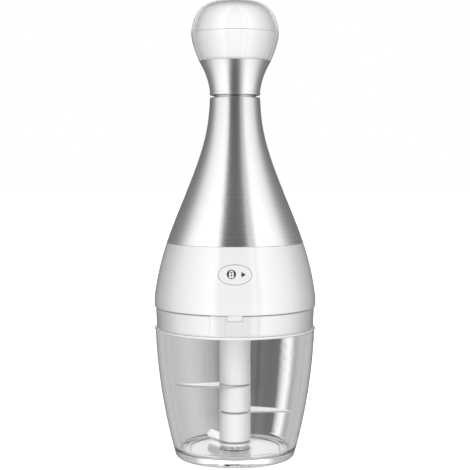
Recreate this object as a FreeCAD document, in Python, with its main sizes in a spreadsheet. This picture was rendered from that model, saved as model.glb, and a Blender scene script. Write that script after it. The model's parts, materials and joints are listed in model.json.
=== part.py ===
import FreeCAD, Part
import math
import os
import Sketcher

# Push-operated food chopper. Millimetres, +Z up, origin under the middle of the bowl, front towards -Y.
# Angles round the axis are given from the front, positive towards +X.

V = FreeCAD.Vector
UP = V(0, 0, 1)
OUT_DIR = "parts"

# Driving dimensions: alias, millimetres (angles in degrees).
DRIVING_SIZES = [
    # bowl
    ("foot_radius", 36.6), ("foot_recess_radius", 33.0), ("foot_recess", 1.2),
    ("base_radius", 37.2), ("base_edge", 0.8),
    ("rim_radius", 49.9), ("rim_height", 80.4), ("rim_edge", 0.8), ("bowl_arc", 345.0),
    ("neck_radius", 46.9), ("neck_height", 84.8), ("neck_bore", 44.9),
    ("floor_radius", 33.0), ("floor_height", 4.8), ("floor_fillet", 3.0),
    ("boss_radius", 8.2), ("boss_height", 6.7),
    ("pin_radius", 2.0), ("pin_foot", 2.4), ("pin_height", 15.2), ("pin_clearance", 0.08),
    # lid
    ("ring_bottom", 80.7), ("ring_height", 92.9), ("ring_radius", 49.1), ("ring_foot_radius", 48.6),
    ("ring_bore", 47.2), ("flange_bottom", 90.9), ("flange_bore", 43.5),
    ("relief_radius", 48.3), ("relief_bottom", 81.7), ("relief_left", -14.8), ("relief_right", -5.8),
    ("relief_corner", 1.0), ("tab_relief_bottom", 89.7), ("tab_gap", 0.3),
    ("disc_bottom", 85.7), ("disc_thickness", 1.7), ("disc_bore", 10.3),
    ("seal_bottom", 84.9), ("seal_inner", 44.6),
    # head casing
    ("skirt_bottom", 93.4), ("skirt_radius", 50.0), ("skirt_shoulder", 99.2), ("skirt_arc", 170.0),
    ("skirt_wall", 2.0), ("seam_height", 133.1), ("seam_radius", 42.3), ("seam_lip", 3.0),
    ("seam_groove", 0.35),
    ("shell_wall", 0.8), ("shell_edge_height", 221.5), ("shell_edge_radius", 15.5), ("shell_top", 222.2),
    ("base_bottom", 93.9), ("base_top", 97.9), ("base_disc_radius", 47.4),
    ("spigot_radius", 43.2), ("spigot_wall", 2.0), ("spigot_bottom", 87.8),
    ("lug_radius", 46.4), ("lug_bottom", 88.0), ("lug_top", 90.5), ("lug_width", 8.8),
    ("hub_radius", 11.0), ("hub_top", 103.9),
    ("bush_outer", 8.0), ("bush_bore", 6.06), ("bush_top", 105.7),
    ("guide_bore", 13.1), ("guide_outer", 14.5), ("guide_top", 217.7),
    ("guide_flange_radius", 22.0), ("guide_flange", 2.5),
    ("key_slot_bottom", 125.1), ("key_slot_top", 186.1), ("key_slot_width", 4.0),
    ("neck_ring_bottom", 218.9),
    ("detent_ring_height", 218.3), ("detent_ring_radius", 13.15), ("detent_wire", 0.5),
    ("guide_screw_circle", 18.5), ("base_screw_circle", 36.0), ("screw_radius", 1.5),
    ("screw_head_radius", 2.8), ("screw_head_height", 1.8), ("screw_length", 10.0),
    ("post_radius", 3.4), ("post_top", 111.9), ("post_rib", 2.0),
    # plunger
    ("tube_radius", 12.9), ("tube_wall", 1.2), ("tube_bottom", 130.1), ("tube_top", 244.3),
    ("nut_bottom", 127.1), ("nut_top", 136.1), ("key_reach", 14.2), ("key_width", 3.6),
    ("plug_bottom", 238.6),
    ("collar_bottom", 223.5), ("collar_foot_radius", 15.2),
    ("collar_waist", 225.5), ("collar_waist_radius", 15.5),
    ("collar_top", 244.2), ("collar_top_radius", 22.0), ("collar_arc", 45.0), ("collar_wall", 0.8),
    ("knob_bottom", 244.3), ("knob_bottom_radius", 22.0), ("knob_top", 281.8),
    ("core_top", 279.8), ("core_bottom", 244.4), ("core_bottom_radius", 20.2), ("core_seam", 261.5),
    ("core_seam_gap", 0.2), ("shell_air_gap", 0.4), ("core_floor", 247.6), ("core_wall", 2.4),
    # drive and blades
    ("spindle_radius", 6.0), ("spindle_top", 105.9), ("spindle_flange_radius", 8.5), ("spindle_flange", 2.0),
    ("drive_hex", 9.0), ("drive_hex_bottom", 80.9), ("drive_hex_top", 89.3),
    ("rod_radius", 3.6), ("rod_thickness", 3.2), ("rod_bottom", 99.9), ("rod_top", 200.1),
    ("rod_lead", 36.0), ("rod_clearance", 0.15),
    ("cap_radius", 8.5), ("cap_height", 3.0),
    ("clip_radius", 8.6), ("clip_bottom", 92.8), ("clip_thickness", 0.8), ("clip_groove", 5.3),
    ("shaft_radius", 9.8), ("shaft_hex", 13.0), ("shaft_bottom", 7.1), ("shaft_top", 88.9),
    ("shaft_chamfer", 0.35), ("socket_hex", 9.3), ("socket_bottom", 78.9), ("pivot_depth", 17.0),
    ("blade_thickness", 1.0), ("blade_upper", 44.3), ("blade_middle", 27.4), ("blade_lower", 8.8),
    ("blade_hub", 9.9), ("blade_belly", 38.0), ("blade_back", 75.0),
    ("blade_reach_upper", 37.4), ("blade_reach_middle", 37.6), ("blade_reach_lower", 33.7),
    ("blade_bevel_width", 1.5), ("blade_bevel_depth", 0.5),
    # button and latch
    ("button_height", 117.1), ("button_half_width", 9.8), ("button_half_height", 5.75), ("button_gap", 0.2),
    ("button_thickness", 3.0), ("button_rise", 0.9), ("button_round", 0.8),
    ("button_rim", 1.2), ("button_rim_thickness", 1.2),
    ("bracket_y", 36.0), ("bracket_thickness", 1.6), ("bracket_half_width", 9.0), ("bracket_top", 124.1),
    ("shelf_reach", 42.4), ("shelf_bottom", 108.0), ("shelf_thickness", 1.0), ("shelf_half_width", 4.0),
    ("tab_half_width", 4.35), ("tab_inner", 48.4), ("tab_outer", 49.0), ("tab_bottom", 90.4),
    ("tab_corner", 1.2),
    ("latch_web_bottom", 98.2), ("latch_web_thickness", 1.2), ("latch_reach", 37.8), ("latch_travel", 2.0),
    ("latch_gap", 0.25),
    ("spring_wire", 0.4), ("latch_spring_radius", 2.0), ("latch_spring_y", 40.2),
    ("button_spring_radius", 2.8), ("return_spring_radius", 9.4), ("return_spring_wire", 0.7),
]

# Poles of the three free curves, (radius, height), from top to bottom; their ends are driving sizes.
SHELL_POLES = [(16.0, 207.0), (20.5, 188.1), (30.0, 164.1), (38.5, 144.1)]
KNOB_POLES = [(15.5, 281.8), (24.5, 274.4), (26.5, 264.7), (27.7, 257.9)]
CORE_POLES = [(14.8, 279.8), (22.6, 273.0), (24.5, 264.4), (25.7, 257.9)]

LUG_ANGLES = [0.0, 120.0, 240.0]
LUG_GAP_TURN = -12.0
LUG_GAP_SWEEP = 13.6
BLADE_HUB_ANGLES = (112.0, 224.0, 336.0)
BLADE_TURNS = {"upper_blade": -174.0, "middle_blade": -8.0, "lower_blade": 120.0}


class Size:
    """A value together with the spreadsheet expression that gives it."""

    def __init__(self, value, text):
        self.value = value
        self.text = text

    def join(self, sign, other, value):
        return Size(value, "(%s %s %s)" % (self.text, sign, other.text))

    def __add__(self, other):
        other = sized(other)
        return self.join("+", other, self.value + other.value)

    def __radd__(self, other):
        return sized(other) + self

    def __sub__(self, other):
        other = sized(other)
        return self.join("-", other, self.value - other.value)

    def __rsub__(self, other):
        return sized(other) - self

    def __mul__(self, other):
        other = sized(other)
        return self.join("*", other, self.value * other.value)

    def __rmul__(self, other):
        return sized(other) * self

    def __truediv__(self, other):
        other = sized(other)
        return self.join("/", other, self.value / other.value)

    def __neg__(self):
        return Size(-self.value, "(0 - %s)" % self.text)


def sized(number):
    if isinstance(number, Size):
        return number
    return Size(float(number), "(%.6f)" % number)


class Sizes:
    """The spreadsheet of driving dimensions; each alias is an attribute that holds a Size."""

    def __init__(self, document, rows):
        sheet = document.addObject("Spreadsheet::Sheet", "Sizes")
        for row, (alias, value) in enumerate(rows, start=1):
            sheet.set("A%d" % row, alias)
            sheet.set("B%d" % row, "%g" % value)
            sheet.setAlias("B%d" % row, alias)
            setattr(self, alias, Size(float(value), "Sizes.%s" % alias))


doc = FreeCAD.newDocument("PushChopper")
P = Sizes(doc, DRIVING_SIZES)
doc.recompute()
nodes = []


def bind(feature, path, size):
    feature.setExpression(path, sized(size).text)


def node(feature):
    """Marks a document object as one sub-part of the hand-in."""
    nodes.append(feature)
    return feature


# ---------------------------------------------------------------- sketches

def arc(radius):
    """The next edge is an arc; a positive radius turns counter-clockwise."""
    return ("arc", sized(radius))


def spline(poles):
    """The next edge is a clamped cubic with these inner poles."""
    return ("spline", [(sized(x), sized(y)) for x, y in poles])


def circle(x, y, radius):
    return ("circle", sized(x), sized(y), sized(radius))


def oval(x, y, half_width, half_height):
    return ("oval", sized(x), sized(y), sized(half_width), sized(half_height))


def place_along(sketch, kind, geometry, corner, size):
    index = sketch.addConstraint(Sketcher.Constraint(kind, -1, 1, geometry, corner, size.value))
    sketch.setExpression("Constraints[%d]" % index, size.text)


def place_point(sketch, geometry, corner, x, y):
    place_along(sketch, "DistanceX", geometry, corner, x)
    place_along(sketch, "DistanceY", geometry, corner, y)


def add_arc(sketch, start, end, radius):
    """Draws an arc and gives its geometry index and which of its ends is the start."""
    chord = end - start
    across = V(-chord.y, chord.x, 0).normalize()
    half = chord.Length / 2
    rise = math.sqrt(radius.value ** 2 - half ** 2)
    centre = (start + end) / 2 + across * math.copysign(rise, radius.value)
    first, last = (start, end) if radius.value > 0 else (end, start)
    angles = [math.atan2(p.y - centre.y, p.x - centre.x) for p in (first, last)]
    ring = Part.Circle(centre, UP, abs(radius.value))
    index = sketch.addGeometry(Part.ArcOfCircle(ring, angles[0], angles[1]), False)
    size = radius if radius.value > 0 else -radius
    rule = sketch.addConstraint(Sketcher.Constraint("Radius", index, size.value))
    sketch.setExpression("Constraints[%d]" % rule, size.text)
    return (index, 1, 2) if radius.value > 0 else (index, 2, 1)


def add_spline(sketch, start, end, poles):
    points = [start] + [V(x.value, y.value, 0) for x, y in poles] + [end]
    index = sketch.addGeometry(Part.BSplineCurve(points, None, None, False, 3, None, False), False)
    markers = []
    for number, point in enumerate(points):
        marker = sketch.addGeometry(Part.Circle(point, UP, 1.0), True)
        kind = "InternalAlignment:Sketcher::BSplineControlPoint"
        sketch.addConstraint(Sketcher.Constraint(kind, marker, 3, index, number))
        markers.append(marker)
    for marker in markers[1:]:
        sketch.addConstraint(Sketcher.Constraint("Equal", markers[0], marker))
    for marker, (x, y) in zip(markers[1:-1], poles):
        place_point(sketch, marker, 3, x, y)
    return index, 1, 2


def add_outline(sketch, items):
    """Closes a loop through the points of items; an arc or spline before a point shapes the edge to it."""
    corners = [(sized(i[0]), sized(i[1])) for i in items if not isinstance(i[0], str)]
    shapes = []
    shape = None
    for item in items:
        if isinstance(item[0], str):
            shape = item
        else:
            shapes.append(shape)
            shape = None
    shapes = shapes[1:] + [shape]
    ends = []
    for (x, y), (next_x, next_y), shape in zip(corners, corners[1:] + corners[:1], shapes):
        start = V(x.value, y.value, 0)
        end = V(next_x.value, next_y.value, 0)
        if shape is None:
            ends.append((sketch.addGeometry(Part.LineSegment(start, end), False), 1, 2))
        elif shape[0] == "arc":
            ends.append(add_arc(sketch, start, end, shape[1]))
        else:
            ends.append(add_spline(sketch, start, end, shape[1]))
    for before, after in zip(ends, ends[1:] + ends[:1]):
        sketch.addConstraint(Sketcher.Constraint("Coincident", before[0], before[2], after[0], after[1]))
    for (x, y), (index, first, _) in zip(corners, ends):
        place_point(sketch, index, first, x, y)


def add_circle(sketch, x, y, radius):
    index = sketch.addGeometry(Part.Circle(V(x.value, y.value, 0), UP, radius.value), False)
    rule = sketch.addConstraint(Sketcher.Constraint("Radius", index, radius.value))
    sketch.setExpression("Constraints[%d]" % rule, radius.text)
    place_point(sketch, index, 3, x, y)


def add_oval(sketch, x, y, half_width, half_height):
    centre = V(x.value, y.value, 0)
    side = centre + V(half_width.value, 0, 0)
    crown = centre + V(0, half_height.value, 0)
    index = sketch.addGeometry(Part.Ellipse(side, crown, centre), False)
    sketch.exposeInternalGeometry(index)
    place_point(sketch, index, 3, x, y)
    place_point(sketch, index + 1, 1, x + half_width, y)
    place_along(sketch, "DistanceY", index + 2, 1, y + half_height)


def draw(sketch, shapes):
    for shape in shapes:
        if isinstance(shape, tuple) and shape[0] == "circle":
            add_circle(sketch, *shape[1:])
        elif isinstance(shape, tuple) and shape[0] == "oval":
            add_oval(sketch, *shape[1:])
        else:
            add_outline(sketch, shape)


def new_sketch(body, name, role, shapes, offset=None, turn=0.0):
    """A sketch on one of the body's own origin planes, moved along its normal and turned about its Y axis."""
    sketch = body.newObject("Sketcher::SketchObject", name)
    plane = [f for f in body.Origin.OriginFeatures if f.Role == role][0]
    sketch.AttachmentSupport = [(plane, "")]
    sketch.MapMode = "FlatFace"
    if turn:
        sketch.AttachmentOffset = FreeCAD.Placement(V(0, 0, 0), FreeCAD.Rotation(V(0, 1, 0), turn))
    if offset is not None:
        bind(sketch, ".AttachmentOffset.Base.z", offset)
    draw(sketch, shapes)
    return sketch


def rectangle(x0, y0, x1, y1):
    return [(x0, y0), (x1, y0), (x1, y1), (x0, y1)]


def hexagon(flats, turn=0.0):
    """A hexagon that is as wide across its flats as given, with two corners on X before its turn."""
    reach = flats / math.sqrt(3)
    corners = [math.radians(60 * k + turn) for k in range(6)]
    return [(reach * math.cos(corner), reach * math.sin(corner)) for corner in corners]


# ---------------------------------------------------------------- features

def new_body(label):
    body = doc.addObject("PartDesign::Body", label)
    body.Label = label
    return body


def revolve(body, outline, name="turned"):
    sketch = new_sketch(body, name + "_sketch", "XZ_Plane", [outline])
    feature = body.newObject("PartDesign::Revolution", name)
    feature.Profile = sketch
    feature.ReferenceAxis = (sketch, ["V_Axis"])
    feature.Angle = 360
    return feature


def lathe(label, outline):
    body = new_body(label)
    revolve(body, outline)
    return body


def pad(body, name, shapes, height, start=0, role="XY_Plane"):
    sketch = new_sketch(body, name + "_sketch", role, shapes, start)
    feature = body.newObject("PartDesign::Pad", name)
    feature.Profile = sketch
    bind(feature, "Length", height)
    return feature


def pocket(body, name, shapes, depth, start, role="XY_Plane"):
    """Cuts down from the start height (or, on the XZ plane, towards the back)."""
    doc.recompute()
    before = body.Shape.Volume
    sketch = new_sketch(body, name + "_sketch", role, shapes, start)
    feature = body.newObject("PartDesign::Pocket", name)
    feature.Profile = sketch
    bind(feature, "Length", depth)
    doc.recompute()
    if body.Shape.Volume > before - 0.01:
        raise RuntimeError("%s of %s cut nothing" % (name, body.Label))
    return feature


def groove(body, name, outline, middle, sweep):
    """Turns an outline about the axis through sweep degrees, centred at middle degrees from the front."""
    doc.recompute()
    before = body.Shape.Volume
    sketch = new_sketch(body, name + "_sketch", "XZ_Plane", [outline], turn=middle - 90.0)
    feature = body.newObject("PartDesign::Groove", name)
    feature.Profile = sketch
    feature.ReferenceAxis = (sketch, ["V_Axis"])
    feature.Midplane = True
    feature.Angle = sweep
    doc.recompute()
    if body.Shape.Volume > before - 0.01:
        raise RuntimeError("%s of %s cut nothing" % (name, body.Label))
    return feature


def cut(label, base, tool):
    feature = doc.addObject("Part::Cut", label)
    feature.Base = base
    feature.Tool = tool
    feature.Label = label
    return feature


def common(label, *shapes):
    feature = doc.addObject("Part::MultiCommon", label)
    feature.Shapes = list(shapes)
    feature.Label = label
    return feature


def fuse(label, *shapes):
    feature = doc.addObject("Part::MultiFuse", label)
    feature.Shapes = list(shapes)
    feature.Label = label
    return feature


def box(label, x_range, y_range, z_range):
    feature = doc.addObject("Part::Box", label)
    feature.Label = label
    for side, axis, (low, high) in zip(("Length", "Width", "Height"), "xyz", (x_range, y_range, z_range)):
        bind(feature, side, sized(high) - low)
        bind(feature, ".Placement.Base." + axis, low)
    return feature


def cylinder(label, radius, bottom, top, x=0, y=0):
    feature = doc.addObject("Part::Cylinder", label)
    feature.Label = label
    bind(feature, "Radius", radius)
    bind(feature, "Height", sized(top) - bottom)
    bind(feature, ".Placement.Base.x", x)
    bind(feature, ".Placement.Base.y", y)
    bind(feature, ".Placement.Base.z", bottom)
    return feature


def around(count, first=0.0):
    """Sines and cosines of places round the axis, counted from the front."""
    turns = [math.radians(first + 360.0 * k / count) for k in range(count)]
    return [(math.sin(turn), -math.cos(turn)) for turn in turns]


def coil(label, radius, wire, low, high, turns, place=FreeCAD.Placement()):
    """A compression spring along its own Z axis, with the two ends inside low and high."""
    length = high.value - low.value - 2 * wire.value
    pitch = length / turns
    rounds = []
    for number in range(turns):
        one_round = Part.makeHelix(pitch, pitch, radius.value).Edges[0]
        one_round.Placement = FreeCAD.Placement(V(0, 0, number * pitch), FreeCAD.Rotation())
        rounds.append(one_round)
    section = Part.Wire(Part.makeCircle(wire.value, V(radius.value, 0, 0), V(0, 1, 0)))
    feature = doc.addObject("Part::Feature", label)
    feature.Label = label
    feature.Shape = Part.Wire(rounds).makePipeShell([section], True, True)
    feature.Placement = place.multiply(FreeCAD.Placement(V(0, 0, low.value + wire.value), FreeCAD.Rotation()))
    return feature


def twisted_bar(label, radius, half_thickness, low, high):
    """A flat bar with round edges, twisted right-handed about Z; its twist at a height is always the same."""
    half_flat = math.sqrt(radius ** 2 - half_thickness ** 2)
    corners = [V(half_flat, -half_thickness, 0), V(half_flat, half_thickness, 0)]
    corners += [-corners[0], -corners[1]]
    right = Part.Arc(corners[0], V(radius, 0, 0), corners[1]).toShape()
    top = Part.makeLine(corners[1], corners[2])
    left = Part.Arc(corners[2], V(-radius, 0, 0), corners[3]).toShape()
    bottom = Part.makeLine(corners[3], corners[0])
    section = Part.Wire([right, top, left, bottom])
    height = high - low
    guide = Part.Wire(Part.makeHelix(P.rod_lead.value, height, radius).Edges)
    spine = Part.Wire(Part.makeLine(V(0, 0, 0), V(0, 0, height)))
    sweep = Part.BRepOffsetAPI.MakePipeShell(spine)
    sweep.setAuxiliarySpine(guide, True, 0)
    sweep.add(section)
    sweep.build()
    sweep.makeSolid()
    feature = doc.addObject("Part::Feature", label)
    feature.Label = label
    feature.Shape = sweep.shape()
    start_turn = 360.0 * (low - P.rod_bottom.value) / P.rod_lead.value
    feature.Placement = FreeCAD.Placement(V(0, 0, low), FreeCAD.Rotation(UP, start_turn))
    return feature


# ---------------------------------------------------------------- bowl

def make_bowl():
    """Clear bowl: thick curved wall, rim lip, thin neck for the lid, pivot boss and recessed foot."""
    bowl = lathe("bowl", [
        (0, P.foot_recess), (P.foot_recess_radius - 1.0, P.foot_recess), (P.foot_recess_radius, 0),
        (P.foot_radius, 0), (P.base_radius, P.base_edge),
        arc(P.bowl_arc), (P.rim_radius - 0.5, P.rim_height - P.rim_edge - 0.6),
        (P.rim_radius, P.rim_height - P.rim_edge), (P.rim_radius - 0.3, P.rim_height),
        (P.neck_radius, P.rim_height), (P.neck_radius, P.neck_height - 0.6),
        (P.neck_radius - 0.6, P.neck_height), (P.neck_bore, P.neck_height), (P.neck_bore, P.rim_height - 1.0),
        arc(-P.bowl_arc), (P.floor_radius + 1.7, P.floor_height + P.floor_fillet),
        arc(-P.floor_fillet), (P.floor_radius - 1.2, P.floor_height),
        (28.6, P.floor_height), (28.0, P.floor_height - 0.35), (P.boss_radius + 2.0, P.floor_height - 0.35),
        arc(-2.2), (P.boss_radius, P.boss_height), (0, P.boss_height),
    ])
    pocket(bowl, "pin_hole", [circle(0, 0, P.pin_radius)], P.boss_height - P.pin_foot, P.boss_height)
    return node(bowl)


def make_pivot_pin():
    point = P.pin_radius * 0.5
    return node(lathe("pivot_pin", [
        (0, P.pin_foot), (P.pin_radius, P.pin_foot), (P.pin_radius, P.pin_height - point),
        (P.pin_radius - point, P.pin_height), (0, P.pin_height),
    ]))


# ---------------------------------------------------------------- lid

def make_lock_ring():
    """White ring on the bowl; its inner flange has three gaps that let the head's lugs through."""
    ring = lathe("ring_blank", [
        (P.ring_bore, P.ring_bottom), (P.relief_radius - 0.2, P.ring_bottom),
        (P.relief_radius, P.ring_bottom + 0.3), (P.relief_radius, P.relief_bottom),
        (P.ring_foot_radius, P.relief_bottom), (P.ring_radius, P.ring_height - 0.4),
        (P.ring_radius - 0.4, P.ring_height), (P.flange_bore, P.ring_height),
        (P.flange_bore, P.flange_bottom), (P.ring_bore, P.flange_bottom),
    ])
    for number, angle in enumerate(LUG_ANGLES):
        gap = rectangle(P.flange_bore - 1.0, P.flange_bottom - 0.5, P.ring_bore - 0.3, P.ring_height + 0.5)
        groove(ring, "lug_gap_%d" % number, gap, angle + LUG_GAP_TURN, LUG_GAP_SWEEP)
    return node(cut("lock_ring", ring, tab_relief()))


def tab_relief():
    """What is cut from the ring's front: the channel that the tab sweeps, and the step under the tab."""
    top = P.ring_height + 1.0
    corner = P.relief_corner
    window = [
        (P.relief_left, top), (P.relief_left, P.relief_bottom + corner), arc(-corner),
        (P.relief_left - corner, P.relief_bottom), (P.relief_right + corner, P.relief_bottom), arc(-corner),
        (P.relief_right, P.relief_bottom + corner),
        (P.relief_right, P.tab_relief_bottom - corner), arc(-corner),
        (P.relief_right + corner, P.tab_relief_bottom), (P.tab_half_width + P.tab_gap, P.tab_relief_bottom),
        (P.tab_half_width + P.tab_gap, top),
    ]
    band = lathe("relief_band", rectangle(P.relief_radius, P.relief_bottom, P.ring_radius + 1.0, top))
    prism = new_body("relief_prism")
    pad(prism, "relief_window", [window], P.skirt_radius + 5.0, 0, "XZ_Plane")
    return common("tab_relief", band, prism)


def make_lid_disc():
    top = P.disc_bottom + P.disc_thickness
    return node(lathe("lid_disc", [
        (P.disc_bore, P.disc_bottom), (P.ring_bore, P.disc_bottom), (P.ring_bore, top), (P.disc_bore, top),
    ]))


def make_rim_seal():
    return node(lathe("rim_seal", [
        (P.seal_inner, P.disc_bottom),
        (P.seal_inner, P.seal_bottom + 0.3), (P.seal_inner + 0.3, P.seal_bottom),
        (P.ring_bore, P.seal_bottom), (P.ring_bore, P.disc_bottom),
    ]))


# ---------------------------------------------------------------- head

def skirt_outer_edge():
    """The skirt's outer line from its bottom edge up to the groove at the steel shell's edge."""
    return [
        (P.skirt_radius - 0.4, P.skirt_bottom), (P.skirt_radius, P.skirt_bottom + 0.6),
        (P.skirt_radius, P.skirt_shoulder), arc(P.skirt_arc),
        (P.seam_radius + P.seam_groove / 3, P.seam_height - P.seam_groove),
        (P.seam_radius - P.seam_groove, P.seam_height),
    ]


def make_skirt():
    """White skirt: curved wall, lip for the steel shell, three screw posts, button hole and tab slot."""
    wall = P.skirt_wall
    lip = P.seam_radius - P.shell_wall
    skirt = lathe("skirt", skirt_outer_edge() + [
        (lip, P.seam_height), (lip - 1.2, P.seam_height + P.seam_lip),
        (lip - 2.2, P.seam_height + P.seam_lip), (lip - 1.2, P.seam_height - 1.0),
        arc(-(P.skirt_arc - wall)), (P.skirt_radius - wall, P.skirt_shoulder),
        (P.skirt_radius - wall, P.skirt_bottom),
    ])
    post_height = P.post_top - P.base_top
    outer = P.skirt_radius - P.skirt_wall - 0.6
    for number, (sine, cosine) in enumerate(around(3, 60.0)):
        x = P.base_screw_circle * sine
        y = P.base_screw_circle * cosine
        rib = [
            (x - P.post_rib / 2 * -cosine, y - P.post_rib / 2 * sine),
            (outer * sine - P.post_rib / 2 * -cosine, outer * cosine - P.post_rib / 2 * sine),
            (outer * sine + P.post_rib / 2 * -cosine, outer * cosine + P.post_rib / 2 * sine),
            (x + P.post_rib / 2 * -cosine, y + P.post_rib / 2 * sine),
        ]
        pad(skirt, "rib_%d" % number, [rib], post_height, P.base_top)
        pad(skirt, "post_%d" % number, [circle(x, y, P.post_radius)], post_height, P.base_top)
        pocket(skirt, "post_hole_%d" % number, [circle(x, y, P.screw_radius)],
               post_height + 1.0, P.post_top + 0.5)
    gap = P.button_gap
    hole = oval(0, P.button_height, P.button_half_width + gap, P.button_half_height + gap)
    pocket(skirt, "button_hole", [hole], 20.0, P.skirt_radius + 5.0, "XZ_Plane")
    slot_half = P.tab_half_width + gap
    slot_top = P.latch_web_bottom + P.latch_web_thickness + P.latch_travel + gap
    slot = rectangle(-slot_half, -(P.tab_outer + P.latch_gap), slot_half, -(P.tab_inner - 3.0))
    pocket(skirt, "tab_slot", [slot], slot_top - P.skirt_bottom + 1.0, slot_top)
    return node(skirt)


def make_steel_shell():
    """Brushed steel bottle: one flowing curve from the skirt's seam to the rolled neck edge."""
    wall = P.shell_wall
    inner = [(x - P.shell_wall, y) for x, y in SHELL_POLES]
    return node(lathe("steel_shell", [
        (P.shell_edge_radius - wall, P.shell_edge_height - 0.1), (P.shell_edge_radius - wall, P.shell_top),
        (P.shell_edge_radius - wall + 0.1, P.shell_top), arc(-(P.shell_top - P.shell_edge_height)),
        (P.shell_edge_radius, P.shell_edge_height), spline(SHELL_POLES), (P.seam_radius, P.seam_height),
        (P.seam_radius - wall, P.seam_height), spline(list(reversed(inner))),
    ]))


def make_head_base():
    """White base of the head: disc, bearing hub, guide spigot and three bayonet lugs."""
    base = lathe("head_base", [
        (P.bush_outer, P.base_bottom), (P.spigot_radius - P.spigot_wall, P.base_bottom),
        (P.spigot_radius - P.spigot_wall, P.spigot_bottom), (P.spigot_radius, P.spigot_bottom),
        (P.spigot_radius, P.base_bottom),
        (P.base_disc_radius, P.base_bottom), (P.base_disc_radius, P.base_top),
        (P.hub_radius, P.base_top), (P.hub_radius, P.hub_top), (P.bush_outer, P.hub_top),
    ])
    half = P.lug_width / 2
    reach = P.lug_radius
    root = P.spigot_radius - 1.0
    for number, (sine, cosine) in enumerate(around(3)):
        lug = [(root * sine + half * cosine, root * cosine - half * sine),
               (reach * sine + half * cosine, reach * cosine - half * sine),
               (reach * sine - half * cosine, reach * cosine + half * sine),
               (root * sine - half * cosine, root * cosine + half * sine)]
        pad(base, "lug_%d" % number, [lug], P.lug_top - P.lug_bottom, P.lug_bottom)
    for number, (sine, cosine) in enumerate(around(3, 60.0)):
        hole = circle(P.base_screw_circle * sine, P.base_screw_circle * cosine, P.screw_radius)
        pocket(base, "base_screw_hole_%d" % number, [hole], 10.0, P.base_top + 1.0)
        hole = circle(P.guide_screw_circle * sine, P.guide_screw_circle * cosine, P.screw_radius)
        pocket(base, "guide_screw_hole_%d" % number, [hole], 10.0, P.base_top + 1.0)
    return node(base)


def make_spindle_bush():
    return node(lathe("spindle_bush", [
        (P.bush_bore, P.base_bottom), (P.bush_outer, P.base_bottom), (P.bush_outer, P.hub_top),
        (P.bush_outer + 2.0, P.hub_top), (P.bush_outer + 2.0, P.bush_top), (P.bush_bore, P.bush_top),
    ]))


def make_guide_tube():
    """Guide for the plunger, with two slots for the drive nut's keys."""
    flange_top = P.base_top + P.guide_flange
    guide = lathe("guide_tube", [
        (P.guide_bore, P.base_top), (P.guide_flange_radius, P.base_top), (P.guide_flange_radius, flange_top),
        (P.guide_outer, flange_top), (P.guide_outer, P.guide_top), (P.guide_bore, P.guide_top),
    ])
    half = P.key_slot_width / 2
    slots = rectangle(-half, P.key_slot_bottom, half, P.key_slot_top)
    pocket(guide, "key_slots", [slots], 2 * (P.guide_outer + 1.0), P.guide_outer + 1.0, "XZ_Plane")
    for number, (sine, cosine) in enumerate(around(3, 60.0)):
        hole = circle(P.guide_screw_circle * sine, P.guide_screw_circle * cosine, P.screw_radius)
        pocket(guide, "guide_screw_hole_%d" % number, [hole], P.guide_flange + 2.0, flange_top + 1.0)
    return node(guide)


def make_screws(label, pitch_radius, head_low, head_high, shank_low, shank_high, first=60.0, count=3):
    """A group of pan-head screws on a circle, as separate solids in one sub-part."""
    screws = []
    for number, (sine, cosine) in enumerate(around(count, first)):
        x = pitch_radius * sine
        y = pitch_radius * cosine
        head = cylinder("%s_head_%d" % (label, number), P.screw_head_radius, head_low, head_high, x, y)
        slot = box("%s_slot_%d" % (label, number), (x - 0.4, x + 0.4), (y - 2.0, y + 2.0),
                   (head_low - 1.0, head_low + 0.7) if head_high.value <= shank_low.value else
                   (head_high - 0.7, head_high + 1.0))
        shank = cylinder("%s_shank_%d" % (label, number), P.screw_radius, shank_low, shank_high, x, y)
        blank = fuse("%s_blank_%d" % (label, number), head, shank)
        screws.append(cut("%s_%d" % (label, number), blank, slot))
    group = doc.addObject("Part::Compound", label)
    group.Links = screws
    group.Label = label
    return node(group)


def make_neck_ring():
    return node(lathe("neck_ring", [
        (P.tube_radius + 0.2, P.neck_ring_bottom),
        (P.shell_edge_radius - P.shell_wall - 0.15, P.neck_ring_bottom),
        (P.shell_edge_radius - P.shell_wall - 0.15, P.shell_top - 0.3),
        (P.shell_edge_radius - P.shell_wall - 0.45, P.shell_top), (P.tube_radius + 0.6, P.shell_top),
        (P.tube_radius + 0.2, P.shell_top - 0.4),
    ]))


def make_detent_ring():
    """Open spring ring that snaps into a groove of the plunger tube and holds it down."""
    ring = doc.addObject("Part::Torus", "detent_ring")
    ring.Label = "detent_ring"
    bind(ring, "Radius1", P.detent_ring_radius)
    bind(ring, "Radius2", P.detent_wire)
    ring.Angle3 = 330.0
    bind(ring, ".Placement.Base.z", P.detent_ring_height)
    return node(ring)


def make_button_bracket():
    """Plate behind the button, with a shelf over the latch spring."""
    plate = box("bracket_plate", (-P.bracket_half_width, P.bracket_half_width),
                (-P.bracket_y, P.bracket_thickness - P.bracket_y), (P.base_top, P.bracket_top))
    shelf = box("bracket_shelf", (-P.shelf_half_width, P.shelf_half_width),
                (-P.shelf_reach, -P.bracket_y + 0.2), (P.shelf_bottom, P.shelf_bottom + P.shelf_thickness))
    return node(fuse("button_bracket", plate, shelf))


# ---------------------------------------------------------------- plunger

def make_plunger_tube():
    """Tube that slides in the head, with the detent groove."""
    inner = P.tube_radius - P.tube_wall
    groove_radius = P.detent_ring_radius - P.detent_wire - 0.05
    low = P.detent_ring_height - P.detent_wire - 0.1
    high = P.detent_ring_height + P.detent_wire + 0.1
    return node(lathe("plunger_tube", [
        (inner, P.tube_bottom), (P.tube_radius, P.tube_bottom),
        (P.tube_radius, low), (groove_radius, low), (groove_radius, high), (P.tube_radius, high),
        (P.tube_radius, P.tube_top), (inner, P.tube_top),
    ]))


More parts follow.
